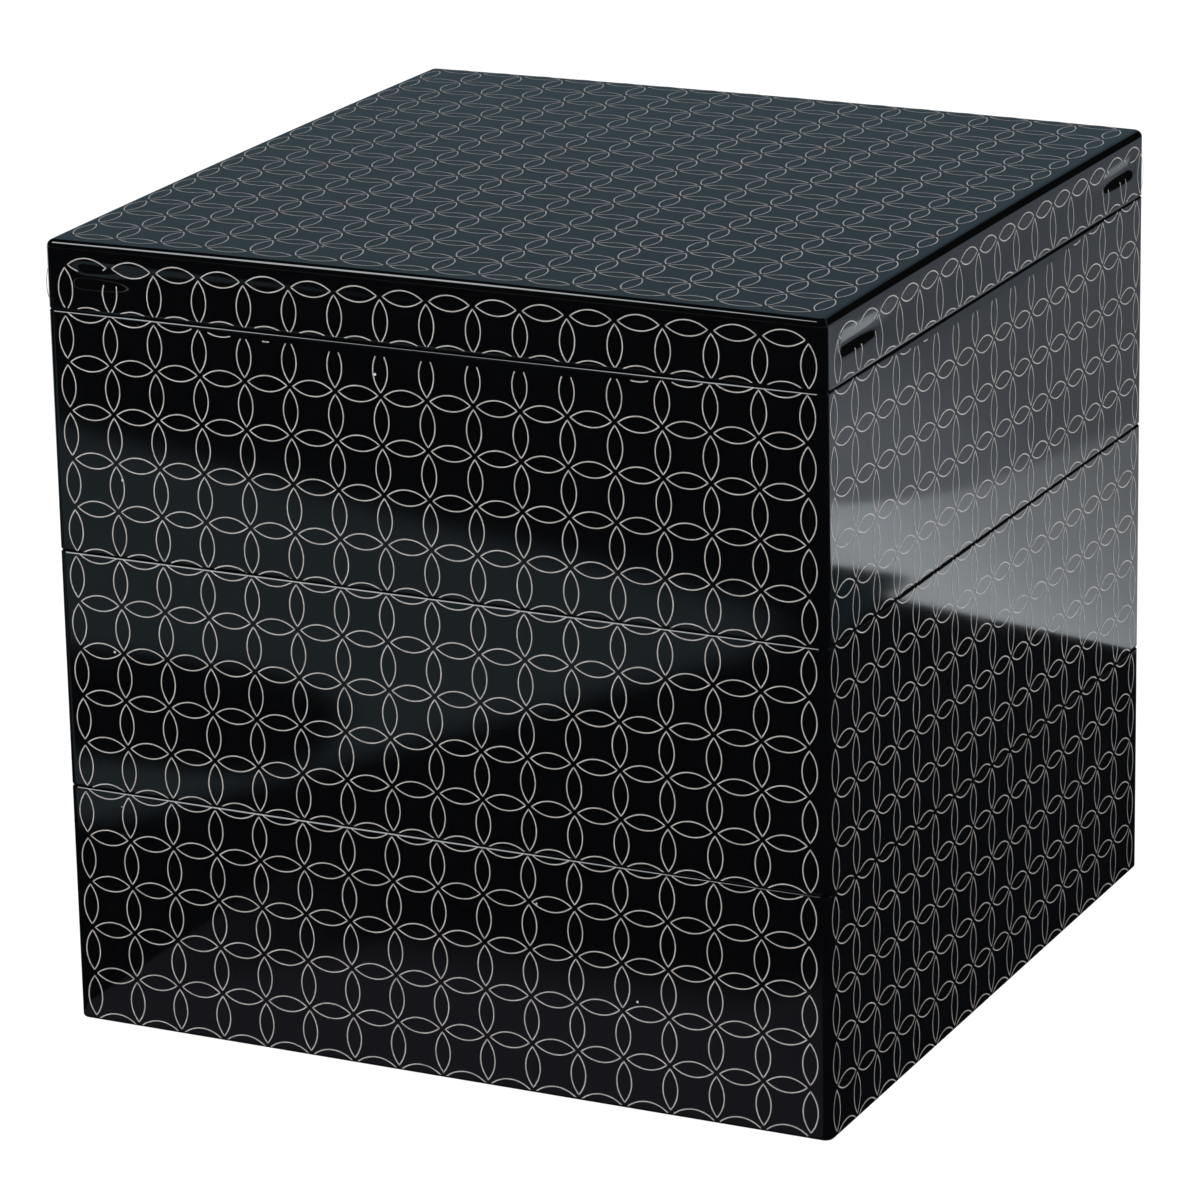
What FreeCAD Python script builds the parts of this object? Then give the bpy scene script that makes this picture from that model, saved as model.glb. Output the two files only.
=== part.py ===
"""A stack of three square trays with a lid, made of lacquered boards. Millimetres, +Z up.

The front faces -Y, the box stands on the bottom tray's foot strips at z = 0, and the Z axis runs up
through its middle. Each tray is four mitred wall boards with hidden keys, a floor board in a groove,
and four foot strips that fit inside the rim of the tray below. The lid is four mitred rails under a
crowned top board, with locating strips inside.
"""

import FreeCAD, Part
import Sketcher
import math
import os

CELLS = [
    ("width", 195, "outside width and depth"),
    ("corner_radius", 2.2, "upright corners"),
    ("bottom_rise", 58.6, "height of the bottom tray's walls"),
    ("tier_rise", 58, "height of the other trays' walls"),
    ("wall_thickness", 6, "wall boards"),
    ("foot_drop", 1.4, "how far the foot strips reach below the walls"),
    ("foot_width", 8, "foot strips, across"),
    ("foot_gap", 0.6, "between a strip and the rim that it fits into"),
    ("floor_level", 2, "underside of the floor board above the walls' lower edge"),
    ("floor_thickness", 4, "floor board"),
    ("groove_depth", 2, "groove for the floor board"),
    ("groove_play", 0.2, "between the floor board's edge and the bottom of its groove"),
    ("bottom_round", 0.7, "walls' lower outer edge"),
    ("rim_round", 0.5, "walls' upper outer edge"),
    ("rim_inner_round", 0.5, "walls' upper inner edge"),
    ("key_length", 5, "mitre keys, across the joint"),
    ("key_thickness", 1.6, "mitre keys"),
    ("key_inset", 4, "mitre keys' middle, in from the wall's outer face"),
    ("key_margin", 8, "mitre keys' ends, in from a wall's upper and lower edges"),
    ("rail_rise", 12, "height of the lid's rails"),
    ("rail_margin", 2.5, "mitre keys' ends, in from a rail's upper and lower edges"),
    ("rail_round", 0.4, "rails' lower outer edge"),
    ("board_rise", 4.3, "top board at its corners"),
    ("crown", 1, "how much higher the top board's middle is than its corners"),
    ("board_round", 1.75, "top board's upper outer edge"),
    ("lip_width", 5, "lid's locating strips, across"),
    ("lip_drop", 4, "how far the locating strips reach below the rails"),
    ("lip_rise", 8, "how far the locating strips reach up inside the rails"),
    ("recess_depth", 0.7, "finger recess in a rail, near its ends"),
    ("recess_middle_depth", 0.2, "finger recess along its middle"),
    ("recess_end", 5.7, "finger recess's ends, in from the corners"),
    ("recess_ramp", 5, "length over which a recess runs in to its full depth"),
    ("recess_blend", 25, "length over which it turns from deep to shallow"),
    ("recess_top", 11.8, "finger recess's upper boundary"),
    ("recess_level", 8.4, "level of its deepest line"),
    ("recess_low", 6.4, "its lower boundary near the ends"),
    ("recess_middle_low", 2, "its lower boundary along the middle"),
    ("scoop_depth", 0.25, "finger scoop in the top tray's rim"),
    ("scoop_rise", 2.9, "height of the scoop in the middle"),
    ("scoop_half_length", 75.4, "scoop, from its middle to its end"),
]

# The sides of the box, with the turn about the Z axis that takes the front to each.
SIDES = [("front", 0), ("right", 90), ("back", 180), ("left", 270)]
TIERS = ["bottom_tier", "middle_tier", "top_tier"]

# How near two places have to be to count as one.
TOUCH = 0.01

# Degrees of the ring that cuts a finger scoop, more than the whole wall takes up.
SCOOP_TURN = 20

sub_parts = []
doc = FreeCAD.newDocument("StackedBox")
sheet = doc.addObject("Spreadsheet::Sheet", "Dimensions")


class Length:
    """A number together with the expression of sheet cells that it comes from."""

    def __init__(self, value, text):
        self.value = value
        self.text = text

    def combined(self, other, sign, result):
        text = other.text if isinstance(other, Length) else repr(other)
        return Length(result, f"({self.text} {sign} {text})")

    def __add__(self, other):
        return self.combined(other, "+", self.value + number(other))

    def __sub__(self, other):
        return self.combined(other, "-", self.value - number(other))

    def __mul__(self, other):
        return self.combined(other, "*", self.value * number(other))

    def __truediv__(self, other):
        return self.combined(other, "/", self.value / number(other))

    def __neg__(self):
        return Length(-self.value, f"(0 - {self.text})")


def number(value):
    """The plain number of a length, or the number itself."""
    return value.value if isinstance(value, Length) else value


def fill_sheet():
    """Writes the driving dimensions, and returns each as a length under its alias."""
    cells = {}
    for row, (alias, value, note) in enumerate(CELLS, start=1):
        sheet.set(f"A{row}", note)
        sheet.set(f"B{row}", str(value))
        sheet.setAlias(f"B{row}", alias)
        cells[alias] = Length(value, f"Dimensions.{alias}")
    doc.recompute()
    return cells


size = fill_sheet()
ZERO = Length(0, "0")
DIAGONAL = round(math.sqrt(0.5), 6)
half = size["width"] / 2
inner = half - size["wall_thickness"]
strip_outside = inner - size["foot_gap"]


def bind(item, path, length):
    """Binds a property of an object to its sheet cells."""
    item.setExpression(path, length.text)


def origin_feature(body, role):
    """A plane or axis of a body's own origin."""
    return next(item for item in body.Origin.OriginFeatures if item.Role == role)


def new_sub_part(kind, name):
    """An object that is a piece of the box under its own name."""
    item = doc.addObject(kind, name)
    item.Label = name
    sub_parts.append(item)
    return item


def new_sketch(body, role, name, offset=None):
    """A sketch on one of the body's origin planes, or parallel to it at an offset."""
    sketch = body.newObject("Sketcher::SketchObject", f"{body.Name}_{name}")
    sketch.AttachmentSupport = [(origin_feature(body, role), "")]
    sketch.MapMode = "FlatFace"
    if offset is not None:
        bind(sketch, "AttachmentOffset.Base.z", offset)
    return sketch


def hold_point(sketch, geometry, end, point):
    """Fixes one point of a sketch at its place from the origin."""
    for kind, length in zip(("DistanceX", "DistanceY"), point):
        index = sketch.addConstraint(Sketcher.Constraint(kind, -1, 1, geometry, end, length.value))
        sketch.setExpression(f"Constraints[{index}]", length.text)


def draw_outline(sketch, points, arcs=(), radius=None):
    """Draws a closed outline through the points, counter-clockwise.

    The edges whose numbers are in arcs have the radius, and bulge outwards.
    """
    vectors = [FreeCAD.Vector(x.value, y.value, 0) for x, y in points]
    count = len(points)
    for edge in range(count):
        start = vectors[edge]
        end = vectors[(edge + 1) % count]
        if edge in arcs:
            chord = end - start
            outward = FreeCAD.Vector(chord.y, -chord.x, 0).normalize()
            sagitta = radius.value - math.sqrt(radius.value ** 2 - chord.Length ** 2 / 4)
            middle = (start + end) / 2 + outward * sagitta
            sketch.addGeometry(Part.Arc(start, middle, end))
            index = sketch.addConstraint(Sketcher.Constraint("Radius", edge, radius.value))
            sketch.setExpression(f"Constraints[{index}]", radius.text)
        else:
            sketch.addGeometry(Part.LineSegment(start, end))
        hold_point(sketch, edge, 1, points[edge])
    for edge in range(count):
        following = (edge + 1) % count
        sketch.addConstraint(Sketcher.Constraint("Coincident", edge, 2, following, 1))


def pad(body, sketch, length):
    """Raises a sketch's outline into a solid."""
    feature = body.newObject("PartDesign::Pad", f"{sketch.Name}_pad")
    feature.Profile = sketch
    bind(feature, "Length", length)
    doc.recompute()


def check_cut(body, volume_before, feature):
    """Makes sure that a cut has taken something away."""
    doc.recompute()
    if body.Shape.Volume > volume_before - TOUCH:
        raise RuntimeError(f"{feature.Name} cuts nothing")


def pocket(body, sketch, length, symmetric=False):
    """Cuts a sketch's outline out of the body along its normal, one way or both."""
    before = body.Shape.Volume
    feature = body.newObject("PartDesign::Pocket", f"{sketch.Name}_pocket")
    feature.Profile = sketch
    bind(feature, "Length", length)
    feature.Reversed = True
    if symmetric:
        feature.SideType = "Symmetric"
    check_cut(body, before, feature)


def round_edges(body, name, radius, chosen):
    """Rounds the edges of the body whose two ends and middle pass the test."""
    base = body.Tip
    names = []
    for position, edge in enumerate(base.Shape.Edges, start=1):
        middle = edge.valueAt((edge.FirstParameter + edge.LastParameter) / 2)
        places = [vertex.Point for vertex in edge.Vertexes] + [middle]
        if all(chosen(place) for place in places):
            names.append(f"Edge{position}")
    feature = body.newObject("PartDesign::Fillet", f"{body.Name}_{name}")
    feature.Base = (base, names)
    bind(feature, "Radius", radius)
    doc.recompute()


def place(item, turn, level):
    """Turns an object about the Z axis and lifts it to its level."""
    item.Placement = FreeCAD.Placement(FreeCAD.Vector(), FreeCAD.Rotation(turn, 0, 0))
    bind(item, "Placement.Base.z", level)


def mitred_board(name, outside, inside, bottom, rise, rounded):
    """The front board of a square frame, with mitred ends, as a body.

    The outside and inside are the frame's half widths there. A rounded board has its half of the
    upright corner's arc at each end.
    """
    body = new_sub_part("PartDesign::Body", name)
    sketch = new_sketch(body, "XY_Plane", "plan", bottom)
    if rounded:
        straight = outside - size["corner_radius"]
        bend = straight + size["corner_radius"] * DIAGONAL
        points = [(-straight, -outside), (straight, -outside), (bend, -bend),
                  (inside, -inside), (-inside, -inside), (-bend, -bend)]
        draw_outline(sketch, points, (1, 5), size["corner_radius"])
    else:
        points = [(-outside, -outside), (outside, -outside), (inside, -inside), (-inside, -inside)]
        draw_outline(sketch, points)
    pad(body, sketch, rise)
    return body


def cut_key_slots(body, bottom, rise):
    """Cuts half a slot for a mitre key into each end of the front board."""
    middle = half - size["key_inset"]
    along = size["key_length"] * DIAGONAL / 2
    across = size["key_thickness"] * DIAGONAL / 2
    for side in (-1, 1):
        sketch = new_sketch(body, "XY_Plane", f"slot_{'right' if side > 0 else 'left'}", bottom)
        corners = [(middle - along - across, -middle - along + across),
                   (middle - along + across, -middle - along - across),
                   (middle + along + across, -middle + along - across),
                   (middle + along - across, -middle + along + across)]
        if side < 0:
            corners = [(-x, y) for x, y in reversed(corners)]
        draw_outline(sketch, corners)
        pocket(body, sketch, rise)


def corner_keys(name, level, bottom, rise):
    """Four keys that cross the mitres, one in each corner, as one compound."""
    near = (half - size["key_inset"]) / DIAGONAL - size["key_thickness"] / 2
    aside = size["key_length"] / 2
    keys = []
    for side, turn in SIDES:
        angle = math.radians(turn - 45)
        cosine = round(math.cos(angle), 6)
        sine = round(math.sin(angle), 6)
        key = doc.addObject("Part::Box", f"{name}_{side}")
        key.Placement.Rotation = FreeCAD.Rotation(turn - 45, 0, 0)
        bind(key, "Length", size["key_thickness"])
        bind(key, "Width", size["key_length"])
        bind(key, "Height", rise)
        bind(key, "Placement.Base.x", near * cosine + aside * sine)
        bind(key, "Placement.Base.y", near * sine - aside * cosine)
        bind(key, "Placement.Base.z", level + bottom)
        keys.append(key)
    new_sub_part("Part::Compound", name).Links = keys


def rise_of(tier):
    """The height of a tray's walls."""
    return size["bottom_rise"] if tier == "bottom_tier" else size["tier_rise"]


def wall_board(tier, side, turn, level):
    """One wall of a tray, with the floor's groove, key slots and rounded edges."""
    rise = rise_of(tier)
    body = mitred_board(f"{tier}_{side}_wall", half, inner, ZERO, rise, True)
    groove = new_sketch(body, "YZ_Plane", "groove")
    low = size["floor_level"]
    high = size["floor_level"] + size["floor_thickness"]
    deep = -inner - size["groove_depth"]
    clear = -inner + size["groove_depth"]
    draw_outline(groove, [(deep, low), (clear, low), (clear, high), (deep, high)])
    pocket(body, groove, size["width"] * 2, symmetric=True)
    cut_key_slots(body, size["key_margin"], rise - size["key_margin"] * 2)
    top = rise.value
    round_edges(body, "bottom_round", size["bottom_round"],
                lambda spot: abs(spot.z) < TOUCH and is_outer(spot))
    round_edges(body, "rim_round", size["rim_round"],
                lambda spot: abs(spot.z - top) < TOUCH and is_outer(spot))
    round_edges(body, "rim_inner_round", size["rim_inner_round"],
                lambda spot: abs(spot.z - top) < TOUCH and abs(spot.y + inner.value) < TOUCH)
    if tier == "top_tier":
        cut_scoop(body)
    place(body, turn, level)


def is_outer(spot):
    """Whether a point of the front board lies along its outer face or corner arcs."""
    return spot.y < -half.value + size["corner_radius"].value


def cut_scoop(body):
    """Cuts the shallow finger scoop: a ring of triangular section about a level axis far above."""
    rise = size["scoop_rise"]
    reach = size["scoop_half_length"]
    radius = (reach * reach + rise * rise) / (rise * 2)
    top = size["tier_rise"]
    axis_level = top + radius - rise
    sketch = new_sketch(body, "YZ_Plane", "scoop")
    low = top - rise
    margin = size["rim_round"]
    slope = size["scoop_depth"] / rise
    draw_outline(sketch, [(-half - slope * margin, low - margin),
                          (-half + slope * (rise + margin), top + margin),
                          (-half - margin, top + margin)])
    line = Part.LineSegment(FreeCAD.Vector(-half.value - 1, axis_level.value, 0),
                            FreeCAD.Vector(-half.value + 1, axis_level.value, 0))
    index = sketch.addGeometry(line, True)
    hold_point(sketch, index, 1, (-half - 1, axis_level))
    hold_point(sketch, index, 2, (-half + 1, axis_level))
    before = body.Shape.Volume
    feature = body.newObject("PartDesign::Groove", f"{body.Name}_scoop_cut")
    feature.Profile = sketch
    feature.ReferenceAxis = (sketch, ["Axis0"])
    feature.Angle = SCOOP_TURN
    feature.Midplane = True
    check_cut(body, before, feature)


def tray(tier, level):
    """A whole tray at its level: walls, keys, floor and foot strips."""
    for side, turn in SIDES:
        wall_board(tier, side, turn, level)
    corner_keys(f"{tier}_corner_keys", level, size["key_margin"],
                rise_of(tier) - size["key_margin"] * 2)
    floor_board(tier, level)
    for side, turn in SIDES:
        strip = mitred_board(f"{tier}_{side}_foot_strip", strip_outside,
                             strip_outside - size["foot_width"], -size["foot_drop"],
                             size["foot_drop"] + size["floor_level"], False)
        place(strip, turn, level)


def floor_board(tier, level):
    """The square floor board, a little short of the bottom of its groove all round."""
    reach = inner + size["groove_depth"] - size["groove_play"]
    board = new_sub_part("Part::Box", f"{tier}_floor_board")
    bind(board, "Length", reach * 2)
    bind(board, "Width", reach * 2)
    bind(board, "Height", size["floor_thickness"])
    bind(board, "Placement.Base.x", -reach)
    bind(board, "Placement.Base.y", -reach)
    bind(board, "Placement.Base.z", level + size["floor_level"])


def lid_rail(side, turn, level):
    """One rail of the lid, with its finger recess on the outside."""
    body = mitred_board(f"lid_{side}_rail", half, strip_outside, ZERO, size["rail_rise"], True)
    cut_key_slots(body, size["rail_margin"], size["rail_rise"] - size["rail_margin"] * 2)
    round_edges(body, "lower_round", size["rail_round"],
                lambda spot: abs(spot.z) < TOUCH and is_outer(spot))
    cut_recess(body)
    place(body, turn, level)


def cut_recess(body):
    """Cuts the finger recess, a shallow groove, as a loft through triangles across the rail.

    Each triangle has two corners in front of the face and one at the groove's deepest line. The first
    and last lie just outside the face, so that the groove runs out gently at its ends.
    """
    end = half - size["recess_end"]
    full = end - size["recess_ramp"]
    gentle = full - size["recess_blend"]
    depth = size["recess_depth"]
    shallow = size["recess_middle_depth"]
    level = size["recess_level"]
    top = size["recess_top"]
    low = size["recess_low"]
    middle_low = size["recess_middle_low"]
    sections = [(-end, -depth / 10, low), (-full, depth, low), (-gentle, shallow, middle_low),
                (gentle, shallow, middle_low), (full, depth, low), (end, -depth / 10, low)]
    outside = -half - depth / 2
    outlines = []
    for position, (station, deep, lowest) in enumerate(sections):
        sketch = new_sketch(body, "YZ_Plane", f"recess_{position}", station)
        draw_outline(sketch, [(outside, lowest - (level - lowest) / 2), (-half + deep, level),
                              (outside, top + (top - level) / 2)])
        outlines.append(sketch)
    before = body.Shape.Volume
    cutter = body.newObject("PartDesign::SubtractiveLoft", f"{body.Name}_recess_cut")
    cutter.Profile = outlines[0]
    cutter.Sections = outlines[1:]
    cutter.Ruled = True
    check_cut(body, before, cutter)


def top_board(level):
    """The lid's top board: a square with rounded corners, crowned by a very large sphere."""
    body = new_sub_part("PartDesign::Body", "lid_top_board")
    sketch = new_sketch(body, "XY_Plane", "plan", size["rail_rise"])
    straight = half - size["corner_radius"]
    points = [(-straight, -half), (straight, -half), (half, -straight), (half, straight),
              (straight, half), (-straight, half), (-half, straight), (-half, -straight)]
    draw_outline(sketch, points, (1, 3, 5, 7), size["corner_radius"])
    pad(body, sketch, size["board_rise"] + size["crown"] * 2)
    reach = half / DIAGONAL
    crown_radius = (reach * reach + size["crown"] * size["crown"]) / (size["crown"] * 2)
    edge_level = size["rail_rise"] + size["board_rise"]
    dome = doc.addObject("PartDesign::Body", "dome")
    sphere = dome.newObject("PartDesign::AdditiveSphere", "dome_sphere")
    bind(sphere, "Radius", crown_radius)
    bind(sphere, "Placement.Base.z", edge_level + size["crown"] - crown_radius)
    doc.recompute()
    before = body.Shape.Volume
    common = body.newObject("PartDesign::Boolean", "lid_top_board_crown")
    common.Type = "Common"
    common.setObjects([dome])
    check_cut(body, before, common)
    round_edges(body, "round", size["board_round"], lambda spot: spot.z > edge_level.value - 0.1)
    place(body, 0, level)


def build():
    """The whole box, from the bottom tray to the lid."""
    level = size["foot_drop"]
    for tier in TIERS:
        tray(tier, level)
        level = level + rise_of(tier)
    for side, turn in SIDES:
        lid_rail(side, turn, level)
        lip = mitred_board(f"lid_{side}_lip", strip_outside, strip_outside - size["lip_width"],
                           -size["lip_drop"], size["lip_drop"] + size["lip_rise"], False)
        place(lip, turn, level)
    corner_keys("lid_corner_keys", level, size["rail_margin"],
                size["rail_rise"] - size["rail_margin"] * 2)
    top_board(level)


def export():
    """Checks every object, and writes each sub-part under its own name."""
    doc.recompute()
    for item in doc.Objects:
        if "Invalid" in item.State or "Error" in item.State:
            raise RuntimeError(f"{item.Name} is {item.State}")
    os.makedirs("parts", exist_ok=True)
    for item in sub_parts:
        shape = item.Shape
        if shape.isNull() or not shape.isValid():
            raise RuntimeError(f"{item.Label} has no valid shape")
        shape.exportStep(f"parts/{item.Label}.step")
        print(f"{item.Label}: {shape.Volume / 1000:.1f} cm3")


build()
export()
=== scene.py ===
"""A lacquered box of three stacked trays and a lid, printed with fine lines, on a white floor."""

import math

import bmesh
import bpy
from mathutils import Matrix, Vector


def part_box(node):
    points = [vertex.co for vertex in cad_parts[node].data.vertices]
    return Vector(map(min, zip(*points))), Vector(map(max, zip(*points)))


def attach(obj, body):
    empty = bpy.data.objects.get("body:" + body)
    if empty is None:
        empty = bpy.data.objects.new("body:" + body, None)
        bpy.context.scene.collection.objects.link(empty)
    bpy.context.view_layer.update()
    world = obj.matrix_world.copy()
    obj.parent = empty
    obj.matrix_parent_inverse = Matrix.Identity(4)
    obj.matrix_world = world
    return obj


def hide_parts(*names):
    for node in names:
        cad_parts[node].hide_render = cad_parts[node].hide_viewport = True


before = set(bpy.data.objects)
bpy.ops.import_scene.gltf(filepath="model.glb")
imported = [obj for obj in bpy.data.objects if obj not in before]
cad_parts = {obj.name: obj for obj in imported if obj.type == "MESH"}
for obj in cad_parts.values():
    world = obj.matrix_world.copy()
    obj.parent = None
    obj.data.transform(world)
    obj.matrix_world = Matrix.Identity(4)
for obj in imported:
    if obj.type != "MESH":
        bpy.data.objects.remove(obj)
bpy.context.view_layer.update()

# Camera
# A long lens 1.4 metres away, to the right of the front and above the lid, held a trace out of level.
# It is shifted a few millimetres left and down, so it looks a little past the point it is aimed at.
scene = bpy.context.scene
scene.view_settings.view_transform = "Standard"
lid_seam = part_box("lid_front_rail")[0][2]
aim_below_seam = 0.0812
aim_point = Vector((0, 0, lid_seam - aim_below_seam))
camera_azimuth = math.radians(25.934)
camera_elevation = math.radians(17.67)
camera_roll = math.radians(-1.094)
camera_distance = 1.4069
camera_aside = -0.00445
camera_raised = -0.0056
lens_length = 175.02

towards_camera = Vector((
    math.sin(camera_azimuth) * math.cos(camera_elevation),
    -math.cos(camera_azimuth) * math.cos(camera_elevation),
    math.sin(camera_elevation),
))
level_right = Vector((math.cos(camera_azimuth), math.sin(camera_azimuth), 0))
level_up = towards_camera.cross(level_right)
rolled_right = level_right * math.cos(camera_roll) + level_up * math.sin(camera_roll)
rolled_up = level_up * math.cos(camera_roll) - level_right * math.sin(camera_roll)

bpy.ops.object.camera_add()
camera = bpy.context.object
camera.name = "camera"
camera.data.sensor_width = 36
camera.data.lens = lens_length
camera.data.clip_end = 20
camera.matrix_world = Matrix((rolled_right, rolled_up, towards_camera)).transposed().to_4x4()
camera.location = (aim_point + towards_camera * camera_distance
                   + level_right * camera_aside + level_up * camera_raised)
scene.camera = camera

# Floor
# A plain pale floor. The camera and every polished surface see it as white with a trace of the box's
# shadow. Its glow is a little over 1, to make up for the small share that is paint.
floor_glow = 1.07
glow_share = 0.94
bpy.ops.mesh.primitive_plane_add(size=12)
floor = bpy.context.object
floor.name = "floor"


def new_material(name):
    """A new material, with its nodes and links."""
    material = bpy.data.materials.new(name)
    material.use_nodes = True
    return material, material.node_tree.nodes, material.node_tree.links


def any_of(nodes, links, light_path, kinds):
    """A mask that is 1 for every one of the named kinds of ray."""
    total = light_path.outputs[kinds[0]]
    for kind in kinds[1:]:
        either = nodes.new("ShaderNodeMath")
        either.operation = "MAXIMUM"
        links.new(total, either.inputs[0])
        links.new(light_path.outputs[kind], either.inputs[1])
        total = either.outputs["Value"]
    return total


floor_paint, nodes, links = new_material("floor_paint")
nodes["Principled BSDF"].inputs["Base Color"].default_value = (0.8, 0.8, 0.8, 1)
nodes["Principled BSDF"].inputs["Roughness"].default_value = 0.9
white = nodes.new("ShaderNodeEmission")
white.inputs["Strength"].default_value = floor_glow
light_path = nodes.new("ShaderNodeLightPath")
mostly = nodes.new("ShaderNodeMath")
mostly.operation = "MULTIPLY"
mostly.inputs[1].default_value = glow_share
seen = any_of(nodes, links, light_path, ("Is Camera Ray", "Is Glossy Ray", "Is Transmission Ray"))
links.new(seen, mostly.inputs[0])
choice = nodes.new("ShaderNodeMixShader")
links.new(mostly.outputs["Value"], choice.inputs["Fac"])
links.new(nodes["Principled BSDF"].outputs["BSDF"], choice.inputs[1])
links.new(white.outputs["Emission"], choice.inputs[2])
links.new(choice.outputs["Shader"], nodes["Material Output"].inputs["Surface"])
floor.data.materials.append(floor_paint)

# Light
# A dim even room. Polished surfaces show a painted reflection in it: a teal wall behind the box, below a
# slanting line, that only glossy rays see and that lights nothing else. A soft lamp high up on the
# left shows as a bright line in the polished edges. Three more soft lamps show in no polished surface.
teal = (0.105, 0.155, 0.19, 1)
unlit = (0.004, 0.004, 0.004, 1)
room = bpy.data.worlds.new("room")
scene.world = room
room.use_nodes = True
nodes = room.node_tree.nodes
links = room.node_tree.links
even_light = nodes["Background"]
even_light.inputs["Color"].default_value = (0.22, 0.22, 0.22, 1)
# What glossy rays alone see: a painted reflection of a teal wall behind the box, dark elsewhere.
walls = nodes.new("ShaderNodeBackground")
place = nodes.new("ShaderNodeTexCoord")
direction = nodes.new("ShaderNodeSeparateXYZ")
links.new(place.outputs["Generated"], direction.inputs["Vector"])
rise = nodes.new("ShaderNodeVectorMath")
rise.operation = "DOT_PRODUCT"
rise.inputs[1].default_value = (-0.35, 0, 1)
links.new(place.outputs["Generated"], rise.inputs[0])
slanted_wall_reflection = nodes.new("ShaderNodeValToRGB")
slanted_wall_reflection.color_ramp.elements[0].position = 0.52
slanted_wall_reflection.color_ramp.elements[0].color = teal
slanted_wall_reflection.color_ramp.elements[1].position = 0.56
slanted_wall_reflection.color_ramp.elements[1].color = unlit
links.new(rise.outputs["Value"], slanted_wall_reflection.inputs["Fac"])
behind = nodes.new("ShaderNodeMapRange")
behind.inputs["From Min"].default_value = 0.2
behind.inputs["From Max"].default_value = 0.5
links.new(direction.outputs["Y"], behind.inputs["Value"])
back_only = nodes.new("ShaderNodeMix")
back_only.data_type = "RGBA"
back_only.inputs["A"].default_value = unlit
links.new(behind.outputs["Result"], back_only.inputs["Factor"])
links.new(slanted_wall_reflection.outputs["Color"], back_only.inputs["B"])
links.new(back_only.outputs["Result"], walls.inputs["Color"])
backdrop = nodes.new("ShaderNodeBackground")
backdrop.inputs["Color"].default_value = (1, 1, 1, 1)
light_path = nodes.new("ShaderNodeLightPath")
polished = nodes.new("ShaderNodeMixShader")
links.new(light_path.outputs["Is Glossy Ray"], polished.inputs["Fac"])
links.new(even_light.outputs["Background"], polished.inputs[1])
links.new(walls.outputs["Background"], polished.inputs[2])
in_view = nodes.new("ShaderNodeMixShader")
links.new(light_path.outputs["Is Camera Ray"], in_view.inputs["Fac"])
links.new(polished.outputs["Shader"], in_view.inputs[1])
links.new(backdrop.outputs["Background"], in_view.inputs[2])
links.new(in_view.outputs["Shader"], nodes["World Output"].inputs["Surface"])


def soft_lamp(name, place, aim, size, power):
    """A square area lamp at a place, turned towards a point."""
    bpy.ops.object.light_add(type="AREA", location=place)
    lamp = bpy.context.object
    lamp.name = name
    lamp.data.size = size
    lamp.data.energy = power
    lamp.data.color = (0.93, 0.97, 1)
    lamp.rotation_euler = (Vector(place) - Vector(aim)).to_track_quat("Z", "Y").to_euler()
    return lamp


middle_of_box = (0, 0, 0.1)
soft_lamp("edge_lamp", (-0.93, -0.6, 1.84), middle_of_box, size=0.62, power=8.4)
right_lamp = soft_lamp("right_lamp", (1.0, -0.2, 1.3), middle_of_box, size=0.8, power=36)
front_lamp = soft_lamp("front_lamp", (0.4, -2.3, 1.0), middle_of_box, size=1.4, power=22)
left_lamp = soft_lamp("left_lamp", (-0.55, -0.85, 0.2), middle_of_box, size=0.6, power=7)
for lamp in (right_lamp, front_lamp, left_lamp):
    lamp.visible_glossy = False

# Painted reflections
# Glowing cards that only polished surfaces show. They paint reflections of surroundings into the gloss
# of
# the box: a dark board under it, a white board and grey cloths behind it on the right, darkness beyond,
# and dim things in front on the left. Two clear cards paint shade over parts of these. The camera
# doesn't see the cards, and they throw no light or shadow on the box. Each flat one lies a little above
# the last.
deep_black = (0.006, 0.006, 0.006)
board_reflection_black = (0.008, 0.01, 0.013)


def reflection_card(name, corners, height, colour, rounding=0, fade=0, cover=1):
    """A glowing card that only polished surfaces show, flat at a height over the floor: a painted
    reflection.

    It glows in its colour, softer in a border as wide as its fade. Its cover is the share that it hides
    of what is under it.
    """
    bpy.ops.object.select_all(action="DESELECT")
    bpy.ops.mesh.primitive_plane_add(size=1)
    card = bpy.context.object
    card.name = name
    first, second, fourth, third = card.data.vertices
    for corner, spot in zip((first, second, third, fourth), corners):
        corner.co = (*spot, height)
    bpy.ops.object.mode_set(mode="EDIT")
    bpy.ops.mesh.select_all(action="SELECT")
    if rounding:
        bpy.ops.mesh.bevel(offset=rounding, segments=8, affect="VERTICES")
    bpy.ops.mesh.select_all(action="SELECT")
    if fade:
        bpy.ops.mesh.inset(thickness=fade)
    bpy.ops.object.mode_set(mode="OBJECT")
    solid = card.data.attributes.new("solid", "FLOAT", "POINT")
    inner = max(card.data.polygons, key=lambda face: face.area)
    for number in inner.vertices:
        solid.data[number].value = 1
    glow, nodes, links = new_material(name)
    light = nodes.new("ShaderNodeEmission")
    light.inputs["Color"].default_value = (*colour, 1)
    clear = nodes.new("ShaderNodeBsdfTransparent")
    border = nodes.new("ShaderNodeAttribute")
    border.attribute_name = "solid"
    soft = nodes.new("ShaderNodeMapRange")
    soft.interpolation_type = "SMOOTHSTEP"
    soft.inputs["To Max"].default_value = cover
    links.new(border.outputs["Fac"], soft.inputs["Value"])
    blend = nodes.new("ShaderNodeMixShader")
    links.new(soft.outputs["Result"], blend.inputs["Fac"])
    links.new(clear.outputs["BSDF"], blend.inputs[1])
    links.new(light.outputs["Emission"], blend.inputs[2])
    links.new(blend.outputs["Shader"], nodes["Material Output"].inputs["Surface"])
    card.data.materials.append(glow)
    card.visible_camera = False
    card.visible_diffuse = False
    card.visible_transmission = False
    card.visible_shadow = False
    return card


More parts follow.
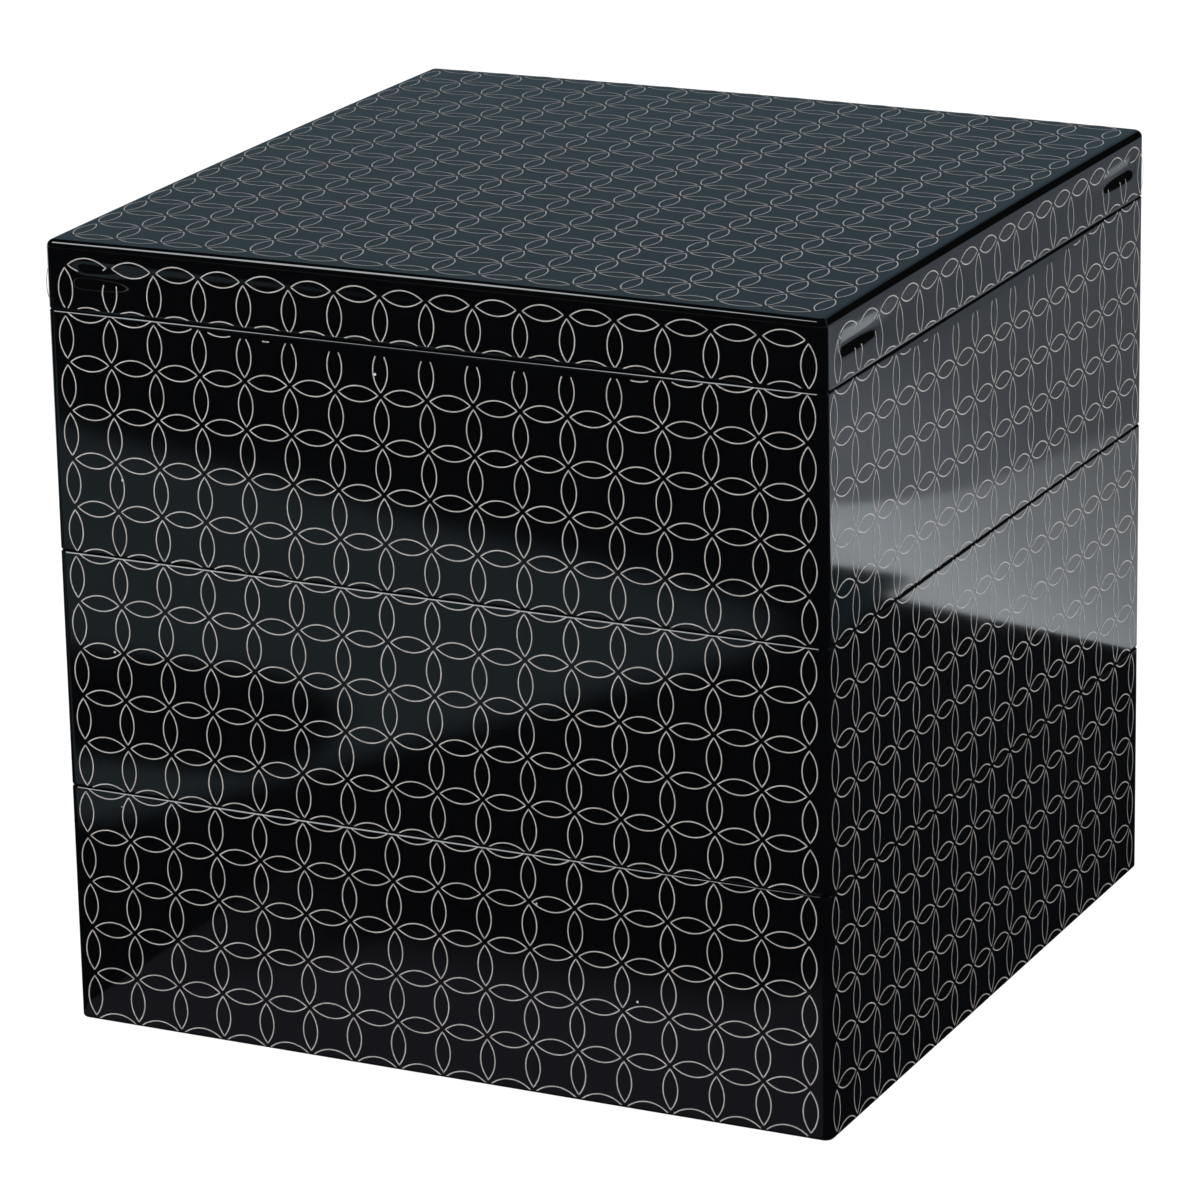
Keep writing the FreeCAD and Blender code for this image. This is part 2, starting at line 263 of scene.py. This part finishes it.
reflection_card("white_board_reflection", [(0.05, 0.15), (1.2, 0.15), (1.2, 1.6), (-0.6, 1.6)],
         0.0002, (1.38, 1.5, 1.6))
# A clear card that paints shade over part of the reflected white board.
reflection_card("board_shade", [(0.10, 0.15), (1.55, 1.6), (-0.6, 1.6), (-0.6, 0.15)],
         0.0003, (0, 0, 0), fade=0.06, cover=0.4)
reflection_card("grey_cloth_reflection", [(0.266, 0.378), (1.3, -0.18), (1.3, 2.0), (-0.11, 2.0)],
         0.0004, (0.46, 0.50, 0.56), rounding=0.03)
reflection_card("pale_cloth_reflection", [(0.27, 0.36), (0.5, 0.24), (0.5, 0.42), (0.26, 0.50)],
         0.0006, (0.85, 0.95, 1.0), rounding=0.03, fade=0.05)
reflection_card("dim_cloth_reflection", [(0.325, 0.2), (3.0, 0.2), (3.0, 4.4), (0.325, 4.4)],
         0.0008, (0.42, 0.47, 0.54), fade=0.02)
# A clear card that paints shade over the far part of the reflected boards and cloths.
reflection_card("far_shade", [(0.05, 0.15), (1.5, 1.6), (-0.6, 1.6), (-0.6, 0.15)],
         0.0009, (0, 0, 0), fade=0.085, cover=0.42)
reflection_card("dark_board_reflection", [(-3.0, -0.45), (-3.0, -4.0), (3.0, -4.0), (3.0, 0.902)],
         0.001, board_reflection_black)
reflection_card("far_dark", [(-1.0, 1.4), (6.0, 1.4), (6.0, 6.0), (-1.0, 6.0)],
         0.0011, deep_black)
reflection_card("dark_block_reflection", [(0.243, 0.2), (0.6, 0.2), (0.6, 0.302), (0.243, 0.302)],
         0.0012, (0.03, 0.05, 0.06), rounding=0.008)
reflection_card("teal_cloth_reflection", [(-0.60, -0.625), (-0.035, -0.447), (-0.165, -0.185), (-0.60, -0.185)],
         0.0014, (0.18, 0.24, 0.27), rounding=0.05, fade=0.022)
reflection_card("dark_hollow_reflection", [(-0.60, -0.345), (-0.145, -0.355), (-0.115, -0.255), (-0.60, -0.245)],
         0.0016, board_reflection_black, rounding=0.045, fade=0.015)
# A painted sheen: a faint glowing patch in front of the box that the front face mirrors.
reflection_card("near_glow", [(-0.10, -0.24), (0.095, -0.24), (0.095, -0.098), (-0.10, -0.098)],
         0.0018, (0.12, 0.12, 0.155), fade=0.05)

# One more painted reflection, a dark screen, stands upright far behind the box.
dark_screen_reflection = reflection_card("dark_screen_reflection", [(0, 0), (4.5, 0), (4.5, 3), (0, 3)], 0, deep_black)
dark_screen_reflection.location = (0.35, 5.1, 0)
dark_screen_reflection.rotation_euler = (math.radians(90), 0, math.radians(-10))

# Lacquer
# Many coats of gloss lacquer over wood, black outside and vermilion inside, polished flat. The black
# keeps a few specks of dust and the faint marks of wiping.
black_colour = (0.0009, 0.0009, 0.001)
black_roughness = 0.05
vermilion_colour = (0.38, 0.022, 0.01)
vermilion_roughness = 0.12
dust_share = 0.015


def new_surface_group(name):
    """The faint wear of polished lacquer: slow waves, wiping marks and specks of dust."""
    group = bpy.data.node_groups.new(name, "ShaderNodeTree")
    sockets = group.interface
    sockets.new_socket("Vector", in_out="INPUT", socket_type="NodeSocketVector")
    sockets.new_socket("Polish", in_out="INPUT", socket_type="NodeSocketFloat")
    sockets.new_socket("Roughness", in_out="OUTPUT", socket_type="NodeSocketFloat")
    sockets.new_socket("Dust", in_out="OUTPUT", socket_type="NodeSocketFloat")
    sockets.new_socket("Height", in_out="OUTPUT", socket_type="NodeSocketFloat")
    nodes = group.nodes
    links = group.links
    entry = nodes.new("NodeGroupInput")
    leave = nodes.new("NodeGroupOutput")
    wiping = nodes.new("ShaderNodeTexNoise")
    wiping.inputs["Scale"].default_value = 60
    wiping.inputs["Detail"].default_value = 4
    links.new(entry.outputs["Vector"], wiping.inputs["Vector"])
    spread = nodes.new("ShaderNodeMapRange")
    spread.inputs["From Min"].default_value = 0.3
    spread.inputs["From Max"].default_value = 0.8
    spread.inputs["To Min"].default_value = 0.9
    spread.inputs["To Max"].default_value = 1.4
    links.new(wiping.outputs["Fac"], spread.inputs["Value"])
    rough = nodes.new("ShaderNodeMath")
    rough.operation = "MULTIPLY"
    links.new(spread.outputs["Result"], rough.inputs[0])
    links.new(entry.outputs["Polish"], rough.inputs[1])
    links.new(rough.outputs["Value"], leave.inputs["Roughness"])
    cells = nodes.new("ShaderNodeTexVoronoi")
    cells.inputs["Scale"].default_value = 240
    links.new(entry.outputs["Vector"], cells.inputs["Vector"])
    near = nodes.new("ShaderNodeMapRange")
    near.inputs["From Min"].default_value = 0.10
    near.inputs["From Max"].default_value = 0.04
    links.new(cells.outputs["Distance"], near.inputs["Value"])
    few = nodes.new("ShaderNodeMath")
    few.operation = "GREATER_THAN"
    few.inputs[1].default_value = 1 - dust_share
    channel = nodes.new("ShaderNodeSeparateColor")
    links.new(cells.outputs["Color"], channel.inputs["Color"])
    links.new(channel.outputs["Red"], few.inputs[0])
    speck = nodes.new("ShaderNodeMath")
    speck.operation = "MULTIPLY"
    links.new(near.outputs["Result"], speck.inputs[0])
    links.new(few.outputs["Value"], speck.inputs[1])
    links.new(speck.outputs["Value"], leave.inputs["Dust"])
    waves = nodes.new("ShaderNodeTexNoise")
    waves.inputs["Scale"].default_value = 14
    waves.inputs["Detail"].default_value = 1
    links.new(entry.outputs["Vector"], waves.inputs["Vector"])
    links.new(waves.outputs["Fac"], leave.inputs["Height"])
    return group


polished_surface = new_surface_group("polished_surface")


def lacquer(name, colour, roughness):
    """A gloss lacquer of one colour, with the polished surface's marks."""
    material, nodes, links = new_material(name)
    shader = nodes["Principled BSDF"]
    place = nodes.new("ShaderNodeTexCoord")
    surface = nodes.new("ShaderNodeGroup")
    surface.node_tree = polished_surface
    surface.inputs["Polish"].default_value = roughness
    links.new(place.outputs["Object"], surface.inputs["Vector"])
    links.new(surface.outputs["Roughness"], shader.inputs["Roughness"])
    dusty = nodes.new("ShaderNodeMix")
    dusty.data_type = "RGBA"
    dusty.inputs["A"].default_value = (*colour, 1)
    dusty.inputs["B"].default_value = (0.5, 0.5, 0.5, 1)
    links.new(surface.outputs["Dust"], dusty.inputs["Factor"])
    links.new(dusty.outputs["Result"], shader.inputs["Base Color"])
    bump = nodes.new("ShaderNodeBump")
    bump.inputs["Strength"].default_value = 0.2
    bump.inputs["Distance"].default_value = 0.0001
    links.new(surface.outputs["Height"], bump.inputs["Height"])
    links.new(bump.outputs["Normal"], shader.inputs["Normal"])
    shader.inputs["IOR"].default_value = 1.6
    return material


black = lacquer("black_lacquer", black_colour, black_roughness)
vermilion = lacquer("vermilion_lacquer", vermilion_colour, vermilion_roughness)

# Tray walls
# Four mitred boards with hidden keys, lacquered over as one unbroken case. It is rounded at the corners
# and the lower edge, and nearly bevelled along the rim. The top tray has a shallow, slanting finger
# scoop under its rim in the middle of each side, bounded below by a wide arc.
tray_bodies = ("bottom_tier", "middle_tier", "top_tier")
side_names = ("front", "right", "back", "left")
# Points of a mesh that are closer than a hair count as being in one place.
hair = 0.00002
# Cutters reach this far past what they cut.
overshoot = 0.01
round_segments = 8
box_half = -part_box("bottom_tier_front_wall")[0][1]
wall_thickness = 0.006
mid_wall = box_half - wall_thickness / 2
corner_radius = 0.0022
lower_round = 0.0007
rim_round = 0.0005
rim_fullness = 0.265
rim_inner_round = 0.0005
inner_corner_round = 0.0006
scoop_rise = 0.0029
scoop_depth = 0.00025
scoop_half_length = 0.0754
scoop_radius = (scoop_half_length ** 2 + scoop_rise ** 2) / (2 * scoop_rise)
scoop_columns = 48
scoop_level_step = 0.0003
scoop_levels = 9


def pick(piece, kind, test):
    """In edit mode, selects only the edges or faces whose corners all pass the test."""
    bpy.ops.mesh.select_mode(type=kind)
    bpy.ops.mesh.select_all(action="DESELECT")
    mesh = bmesh.from_edit_mesh(piece.data)
    parts = mesh.edges if kind == "EDGE" else mesh.faces
    for part in parts:
        if test([corner.co for corner in part.verts]):
            part.select_set(True)
    bmesh.update_edit_mesh(piece.data)


def outwards(spot):
    """How far a point is from the box's middle axis, towards the nearest side."""
    return max(abs(spot.x), abs(spot.y))


def level_at(height):
    """A test for corners that all lie at one height."""
    return lambda spots: all(abs(spot.z - height) < hair for spot in spots)


def upright(spots):
    """A test for an edge that runs straight up."""
    return (spots[0].xy - spots[1].xy).length < hair


def new_block(name, half, low, high):
    """A plain square block of a half width, between two heights, left in edit mode."""
    bpy.ops.object.select_all(action="DESELECT")
    bpy.ops.mesh.primitive_cube_add(size=1, location=(0, 0, (low + high) / 2))
    piece = bpy.context.object
    piece.name = name
    piece.scale = (half * 2, half * 2, high - low)
    bpy.ops.object.transform_apply(location=True, scale=True)
    bpy.ops.object.mode_set(mode="EDIT")
    return piece


def rounded_block(name, half, low, high, corner, lower, upper, fullness=0.5):
    """A block with rounded upright corners, lower edge and upper edge, left in edit mode.

    The upper edge is a quarter circle at a fullness of a half and a flat bevel at a quarter.
    """
    piece = new_block(name, half, low, high)
    pick(piece, "EDGE", upright)
    bpy.ops.mesh.bevel(offset=corner, segments=round_segments)
    for height, radius, profile in ((low, lower, 0.5), (high, upper, fullness)):
        if radius:
            pick(piece, "EDGE", level_at(height))
            bpy.ops.mesh.bevel(offset=radius, segments=round_segments, profile=profile)
    return piece


def hollow_out(piece, half, low, high, corner):
    """Cuts a square hollow with rounded corners out of a piece, and returns to its edit mode."""
    bpy.ops.object.mode_set(mode="OBJECT")
    cutter = rounded_block("hollow", half, low, high, corner, 0, 0)
    bpy.ops.object.mode_set(mode="OBJECT")
    bpy.ops.object.select_all(action="DESELECT")
    bpy.context.view_layer.objects.active = piece
    piece.select_set(True)
    bpy.ops.object.modifier_add(type="BOOLEAN")
    piece.modifiers[-1].operation = "DIFFERENCE"
    piece.modifiers[-1].object = cutter
    bpy.ops.object.modifier_apply(modifier=piece.modifiers[-1].name)
    bpy.data.objects.remove(cutter)
    bpy.ops.object.mode_set(mode="EDIT")


def slice_up(piece, axis, places, reach=0):
    """In edit mode, cuts a piece square to an axis at each place, without moving anything.

    Only faces that reach further than a distance from the box's middle axis are cut.
    """
    normal = [0, 0, 0]
    normal[axis] = 1
    for place in places:
        pick(piece, "FACE", lambda spots: max(outwards(spot) for spot in spots) > reach)
        point = [0, 0, 0]
        point[axis] = place
        bpy.ops.mesh.bisect(plane_co=point, plane_no=normal)


def finish_smooth(piece):
    """Leaves edit mode and smooths the rounds while the flats stay flat."""
    bpy.ops.mesh.select_all(action="SELECT")
    bpy.ops.mesh.normals_make_consistent(inside=False)
    bpy.ops.object.mode_set(mode="OBJECT")
    bpy.ops.object.shade_smooth()
    bpy.ops.object.modifier_add(type="WEIGHTED_NORMAL")
    piece.modifiers[-1].weight = 100
    bpy.ops.object.modifier_apply(modifier=piece.modifiers[-1].name)


def scoop_at(side, along, height):
    """How deep the finger scoop is at a place along any side, at a height in the box."""
    reach = min(abs(along), scoop_half_length)
    sagitta = scoop_radius - math.sqrt(scoop_radius ** 2 - reach ** 2)
    above = scoop_rise - sagitta - (lid_seam - height)
    return max(0, above) * scoop_depth / scoop_rise


def press_in(piece, zone, depth_at):
    """Moves the corners within a zone of each side inwards, by a depth that varies with their place.

    Sides count from the front round by the right, and lengths along them count from the middle to the
    right, as seen from outside.
    """
    for corner in piece.data.vertices:
        spot = corner.co.copy()
        for side, axis, outward in ((0, 1, -1), (1, 0, 1), (2, 1, 1), (3, 0, -1)):
            if spot[axis] * outward > box_half - zone:
                along = spot[1 - axis] if side < 2 else -spot[1 - axis]
                corner.co[axis] -= outward * depth_at(side, along, spot.z)


def tray_case(tier):
    """One tray's walls as a single lacquered case."""
    low, high = (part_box(f"{tier}_front_wall")[end][2] for end in (0, 1))
    piece = rounded_block(f"{tier}_case", box_half, low, high, corner_radius, lower_round, rim_round,
                          rim_fullness)
    hollow_out(piece, box_half - wall_thickness, low - overshoot, high + overshoot,
               inner_corner_round)
    pick(piece, "EDGE", lambda spots: level_at(high)(spots) and all(
        outwards(spot) < box_half - wall_thickness + hair for spot in spots))
    bpy.ops.mesh.bevel(offset=rim_inner_round, segments=4)
    if tier == "top_tier":
        columns = [scoop_half_length * (step / scoop_columns * 2 - 1)
                   for step in range(scoop_columns + 1)]
        levels = [high - rim_round - step * scoop_level_step for step in range(scoop_levels)]
        slice_up(piece, 2, levels, mid_wall)
        slice_up(piece, 0, columns)
        slice_up(piece, 1, columns)
        bpy.ops.object.mode_set(mode="OBJECT")
        press_in(piece, rim_round * 2, scoop_at)
        bpy.ops.object.mode_set(mode="EDIT")
    finish_smooth(piece)
    return piece


def line_inside(piece, half, top=math.inf):
    """Gives the faces inside a hollow, up to its top, the vermilion lacquer."""
    piece.data.materials.append(vermilion)
    for face in piece.data.polygons:
        spots = [piece.data.vertices[number].co for number in face.vertices]
        if all(outwards(spot) < half + hair and spot.z < top + hair for spot in spots):
            face.material_index = 1


for tier in tray_bodies:
    case = tray_case(tier)
    case.data.materials.append(black)
    line_inside(case, box_half - wall_thickness)
    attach(case, tier)
    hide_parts(f"{tier}_corner_keys", *(f"{tier}_{side}_wall" for side in side_names))

# Tray floors and foot strips
# The floor board shows vermilion inside the tray and black beneath. The strips under it fit inside the
# rim of the tray below, and the bottom tray stands on its own.


def both_sides(name):
    """Vermilion lacquer on what faces up and black on the rest."""
    material = lacquer(name, vermilion_colour, vermilion_roughness)
    nodes = material.node_tree.nodes
    links = material.node_tree.links
    shader = nodes["Principled BSDF"]
    facing = nodes.new("ShaderNodeNewGeometry")
    parts = nodes.new("ShaderNodeSeparateXYZ")
    links.new(facing.outputs["Normal"], parts.inputs["Vector"])
    up = nodes.new("ShaderNodeMath")
    up.operation = "GREATER_THAN"
    up.inputs[1].default_value = 0.5
    links.new(parts.outputs["Z"], up.inputs[0])
    choice = nodes.new("ShaderNodeMix")
    choice.data_type = "RGBA"
    choice.inputs["A"].default_value = (*black_colour, 1)
    links.new(up.outputs["Value"], choice.inputs["Factor"])
    links.new(shader.inputs["Base Color"].links[0].from_socket, choice.inputs["B"])
    links.new(choice.outputs["Result"], shader.inputs["Base Color"])
    return material


def finish_node(name, material):
    """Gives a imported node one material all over."""
    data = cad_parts[name].data
    data.materials.clear()
    data.materials.append(material)


floor_lacquer = both_sides("floor_lacquer")
for tier in tray_bodies:
    finish_node(f"{tier}_floor_board", floor_lacquer)
    for side in side_names:
        finish_node(f"{tier}_{side}_foot_strip", black)

# Lid
# A crowned top board on four mitred rails, lacquered over as one. Each rail has a finger recess: a
# groove that is hardly there along the middle and turns into a deeper dent near the corners. Its heel,
# the part next to the seam, falls back a trace except near the corners.
lid_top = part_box("lid_top_board")[1][2]
board_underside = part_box("lid_top_board")[0][2]
crown = 0.001
lid_edge = lid_top - crown
lid_hollow_half = -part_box("lid_front_rail")[1][1]
lid_lower_round = 0.0004
lid_upper_round = 0.00175
# Lengths along a rail count from its middle, and levels on it count up from the lid's seam.
recess_end = 0.0918
recess_ramp = 0.005
groove_depth = 0.0002
groove_top = 0.0135
groove_deepest = 0.0092
groove_low = 0.002
dent_depth = 0.0008
dent_top = 0.0124
dent_deepest = 0.0084
dent_low = 0.0052
dent_ease = 0.015
# How deep each dent is, as a share, and where it starts, on the left and right of the front and of the
# right side. The back is like the front, and the left side is like the right.
dents = (
    ((1, 0.071), (0.25, 0.071)),
    ((1, 0.062), (1, 0.064)),
)
heel_depth = 0.00025
heel_top = 0.0011
heel_fade = 0.030
rail_zone = 0.0016
column_step = 0.004
end_column_step = 0.0005
heel_level_step = 0.00025
above_heel = 0.0024
level_step = 0.0004


def eased(share):
    """A smooth step from 0 to 1."""
    share = min(max(share, 0), 1)
    return share * share * (3 - 2 * share)


def trough(level, low, deepest, top):
    """A groove's depth at a level as a share: 1 on its deepest line and 0 at its two boundaries."""
    return eased(min((top - level) / (top - deepest), (level - low) / (deepest - low)))


def recess_at(side, along, height):
    """How far a rail lies back at a place along it, at a height in the box."""
    level = height - lid_seam
    inset = recess_end - abs(along)
    dent_share, dent_start = dents[side % 2][along > 0]
    dented = eased((abs(along) - dent_start) / dent_ease)
    groove = groove_depth * trough(level, groove_low, groove_deepest, groove_top) * (1 - dented)
    dent = dent_share * dent_depth * trough(level, dent_low, dent_deepest, dent_top) * dented
    heel = heel_depth * max(0, (heel_top - level) / heel_top) ** 2 * eased(inset / heel_fade)
    return (groove + dent) * eased(inset / recess_ramp) + heel


def crown_at(spot):
    """How far the crowned top stands above its corners."""
    return crown * (1 - (spot.x ** 2 + spot.y ** 2) / (2 * box_half ** 2))


lid = rounded_block("lid_case", box_half, lid_seam, lid_edge, corner_radius, lid_lower_round,
                    lid_upper_round)
hollow_out(lid, lid_hollow_half, lid_seam - overshoot, board_underside, inner_corner_round)
columns = [step * column_step for step in range(-21, 22)]
columns += [end * (recess_end - step * end_column_step) for end in (-1, 1) for step in range(10)]
levels = [lid_seam + lid_lower_round + step * heel_level_step for step in range(8)]
levels += [lid_seam + above_heel + step * level_step for step in range(29)]
slice_up(lid, 2, levels, mid_wall)
slice_up(lid, 0, columns)
slice_up(lid, 1, columns)
bpy.ops.object.mode_set(mode="OBJECT")
press_in(lid, rail_zone, recess_at)
for corner in lid.data.vertices:
    share = (corner.co.z - board_underside) / (lid_edge - board_underside)
    corner.co.z += crown_at(corner.co) * min(max(share, 0), 1)
bpy.ops.object.mode_set(mode="EDIT")
finish_smooth(lid)
lid.data.materials.append(black)
line_inside(lid, lid_hollow_half, board_underside)
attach(lid, "lid")
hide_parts("lid_top_board", "lid_corner_keys", *(f"lid_{side}_rail" for side in side_names))
for side in side_names:
    finish_node(f"lid_{side}_lip", black)

# Printed pattern
# Pale gold lines on the lacquer: circles on a square grid, each drawn only where it runs inside its
# neighbours, which leaves pointed petals that stop just short of each other. The print wraps onto the
# rounds at the seams and is gone where a dent or scoop is cut. Each print sits a little out of place,
# and those on the sides are a trace out of level.
pitch = 0.0116
across_count = 16
tray_rows = 5
petal_arc_radius = pitch * 0.66
arc_points = 56
line_width = 0.00027
ink_lift = 0.00003
face_half = pitch * across_count / 2
# How far the print keeps from a tray's lower edge and rim, and what it covers of the lid's side.
gap_below = 0.00035
gap_above = 0.0003
lid_print_low = 0.0008
lid_print_high = pitch * 1.3
worn_depth = 0.00035


def ink(name):
    """Matt metallic printing ink, a little uneven along the line."""
    material, nodes, links = new_material(name)
    shader = nodes["Principled BSDF"]
    place = nodes.new("ShaderNodeTexCoord")
    uneven = nodes.new("ShaderNodeTexNoise")
    uneven.inputs["Scale"].default_value = 300
    links.new(place.outputs["Object"], uneven.inputs["Vector"])
    tint = nodes.new("ShaderNodeValToRGB")
    tint.color_ramp.elements[0].position = 0.3
    tint.color_ramp.elements[0].color = (0.42, 0.38, 0.355, 1)
    tint.color_ramp.elements[1].position = 0.7
    tint.color_ramp.elements[1].color = (0.54, 0.49, 0.46, 1)
    links.new(uneven.outputs["Fac"], tint.inputs["Fac"])
    links.new(tint.outputs["Color"], shader.inputs["Base Color"])
    shader.inputs["Roughness"].default_value = 0.42
    shader.inputs["Metallic"].default_value = 0.5
    return material


print_ink = ink("print_ink")


def new_petal(name, turned):
    """One petal outline lying flat from the first grid point along X, or along Y where it is turned."""
    centre = (pitch / 2, pitch / 2, 0)
    bpy.ops.object.select_all(action="DESELECT")
    bpy.ops.mesh.primitive_circle_add(vertices=arc_points, radius=petal_arc_radius + line_width / 2,
                                      fill_type="NGON", location=centre)
    petal = bpy.context.object
    petal.name = name
    bpy.ops.object.transform_apply(location=True)
    bpy.ops.object.mode_set(mode="EDIT")
    bpy.ops.mesh.select_all(action="SELECT")
    bpy.ops.mesh.inset(thickness=line_width)
    bpy.ops.mesh.delete(type="FACE")
    bpy.ops.mesh.select_all(action="SELECT")
    bpy.ops.mesh.bisect(plane_co=(0, 0, 0), plane_no=(0, 1, 0), clear_outer=True)
    bpy.ops.object.mode_set(mode="OBJECT")
    bpy.ops.object.modifier_add(type="MIRROR")
    petal.modifiers[-1].use_axis = (False, True, False)
    petal.modifiers[-1].merge_threshold = 0.000001
    bpy.ops.object.modifier_apply(modifier=petal.modifiers[-1].name)
    if turned:
        petal.rotation_euler = (0, 0, math.radians(90))
        bpy.ops.object.transform_apply(rotation=True)
    return petal


def repeat(piece, count, step):
    """Repeats a piece along a step."""
    bpy.ops.object.modifier_add(type="ARRAY")
    array = piece.modifiers[-1]
    array.count = count
    array.use_relative_offset = False
    array.use_constant_offset = True
    array.constant_offset_displace = step
    bpy.ops.object.modifier_apply(modifier=array.name)


def join(pieces, name):
    """Joins pieces into one under a name."""
    bpy.ops.object.select_all(action="DESELECT")
    for piece in pieces:
        piece.select_set(True)
    bpy.context.view_layer.objects.active = pieces[0]
    bpy.ops.object.join()
    pieces[0].name = name
    return pieces[0]


def petal_grid(name, rows):
    """A grid of petals lying flat, centred along X, with its rows going up along Y from 0."""
    level = new_petal("level_petals", False)
    repeat(level, across_count, (pitch, 0, 0))
    repeat(level, rows + 1, (0, pitch, 0))
    rising = new_petal("rising_petals", True)
    repeat(rising, across_count + 1, (pitch, 0, 0))
    repeat(rising, rows, (0, pitch, 0))
    grid = join([level, rising], name)
    grid.location = (-face_half, 0, 0)
    bpy.ops.object.transform_apply(location=True)
    return grid


def keep_between(piece, low, high):
    """Cuts away what lies outside two lengths along Y."""
    bpy.ops.object.mode_set(mode="EDIT")
    for place, direction in ((low, -1), (high, 1)):
        bpy.ops.mesh.select_all(action="SELECT")
        bpy.ops.mesh.bisect(plane_co=(0, place, 0), plane_no=(0, direction, 0), clear_outer=True)
    bpy.ops.object.mode_set(mode="OBJECT")


def mean(values):
    """The mean of a list of values."""
    return sum(values) / len(values)


def round_at(distance, radius):
    """How far a rounded edge has fallen back at a distance from the edge."""
    return radius - math.sqrt(radius ** 2 - max(0, radius - distance) ** 2)


def side_print(name, base, rows, kept, surface_at, worn_at):
    """The print on all four sides of a tray or the lid, from the front round by the right.

    Its rows count up from the base height. Each side's copy is set a little aside and out of level, cut
    to the kept heights, laid on the surface, and left out where it is worn away.
    """
    flat = petal_grid(name, rows)
    sheets = []
    for side, turn in enumerate((0, 90, 180, 270)):
        aside, tilt = print_offsets[name][side % 2]
        bpy.ops.object.select_all(action="DESELECT")
        sheet = flat.copy()
        sheet.data = flat.data.copy()
        scene.collection.objects.link(sheet)
        bpy.context.view_layer.objects.active = sheet
        sheet.select_set(True)
        sheet.rotation_euler = (0, 0, math.radians(tilt))
        bpy.ops.object.transform_apply(rotation=True)
        keep_between(sheet, kept[0] - base, kept[1] - base)
        sheet.location = (aside, -box_half - ink_lift, base)
        sheet.rotation_euler = (math.radians(90), 0, 0)
        bpy.ops.object.transform_apply(location=True, rotation=True)
        bpy.ops.object.mode_set(mode="EDIT")
        pick(sheet, "FACE", lambda spots: worn_at(side, mean([spot.x for spot in spots]),
                                                  mean([spot.z for spot in spots])))
        bpy.ops.mesh.delete(type="FACE")
        bpy.ops.object.mode_set(mode="OBJECT")
        for corner in sheet.data.vertices:
            corner.co.y += surface_at(side, corner.co.x, corner.co.z)
        sheet.rotation_euler = (0, 0, math.radians(turn))
        bpy.ops.object.transform_apply(rotation=True)
        sheets.append(sheet)
    bpy.data.objects.remove(flat)
    return join(sheets, name)


def finish_print(piece, body):
    """Gives a print its ink and lets it move with its body."""
    piece.data.materials.clear()
    piece.data.materials.append(print_ink)
    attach(piece, body)


def tray_surface(tier, low, high):
    """A function for how far a tray's wall lies back at a place: its rounds and the top tray's scoop."""
    def surface_at(side, along, height):
        back = round_at(height - low, lower_round) + round_at(high - height, rim_round)
        if tier == "top_tier":
            back += scoop_at(side, along, height)
        return back
    return surface_at


def never_worn(side, along, height):
    """No wear at all, for the trays with straight walls."""
    return False


def scoop_worn(side, along, height):
    """Whether the print was cut away with the finger scoop."""
    return scoop_at(side, along, height) > 0


# How far each print sits aside, and by how many degrees it is out of level, on the front and on the
# right. The back is like the front, and the left is like the right.
print_offsets = {
    "bottom_tier_print": ((-0.0001, 0.11), (-0.0010, 0.05)),
    "middle_tier_print": ((0.0003, 0.04), (-0.0007, 0.11)),
    "top_tier_print": ((0.0006, 0.17), (-0.0002, 0.19)),
    "lid_side_print": ((0.0008, 0.19), (0.0020, 0.11)),
}
# How far the lowest row of grid points of each print is above the lower edge of its piece.
print_rises = {"bottom_tier": 0.0006, "middle_tier": -0.0001, "top_tier": -0.00015}
lid_print_rise = -0.00025
for tier in tray_bodies:
    low, high = (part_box(f"{tier}_front_wall")[end][2] for end in (0, 1))
    kept = (low + max(gap_below, print_rises[tier]), high - gap_above)
    worn_at = scoop_worn if tier == "top_tier" else never_worn
    sheet = side_print(f"{tier}_print", low + print_rises[tier], tray_rows, kept,
                       tray_surface(tier, low, high), worn_at)
    finish_print(sheet, tier)


def lid_surface(side, along, height):
    """How far the lid's side lies back at a place: its lower round and the finger recess."""
    return round_at(height - lid_seam, lid_lower_round) + recess_at(side, along, height)


def recess_worn(side, along, height):
    """Whether the dent is too deep there to have taken the print."""
    return recess_at(side, along, height) > worn_depth and height > lid_seam + dent_low


kept = (lid_seam + lid_print_low, lid_seam + lid_print_high)
lid_side_print = side_print("lid_side_print", lid_seam + lid_print_rise, 1, kept,
                            lid_surface, recess_worn)
finish_print(lid_side_print, "lid")

top_print_aside = -0.00046
top_print_back = 0.0013
lid_top_print = petal_grid("lid_top_print", across_count)
lid_top_print.location = (top_print_aside, top_print_back - face_half, lid_edge + ink_lift)
bpy.ops.object.transform_apply(location=True)
for corner in lid_top_print.data.vertices:
    corner.co.z += crown_at(corner.co)
finish_print(lid_top_print, "lid")
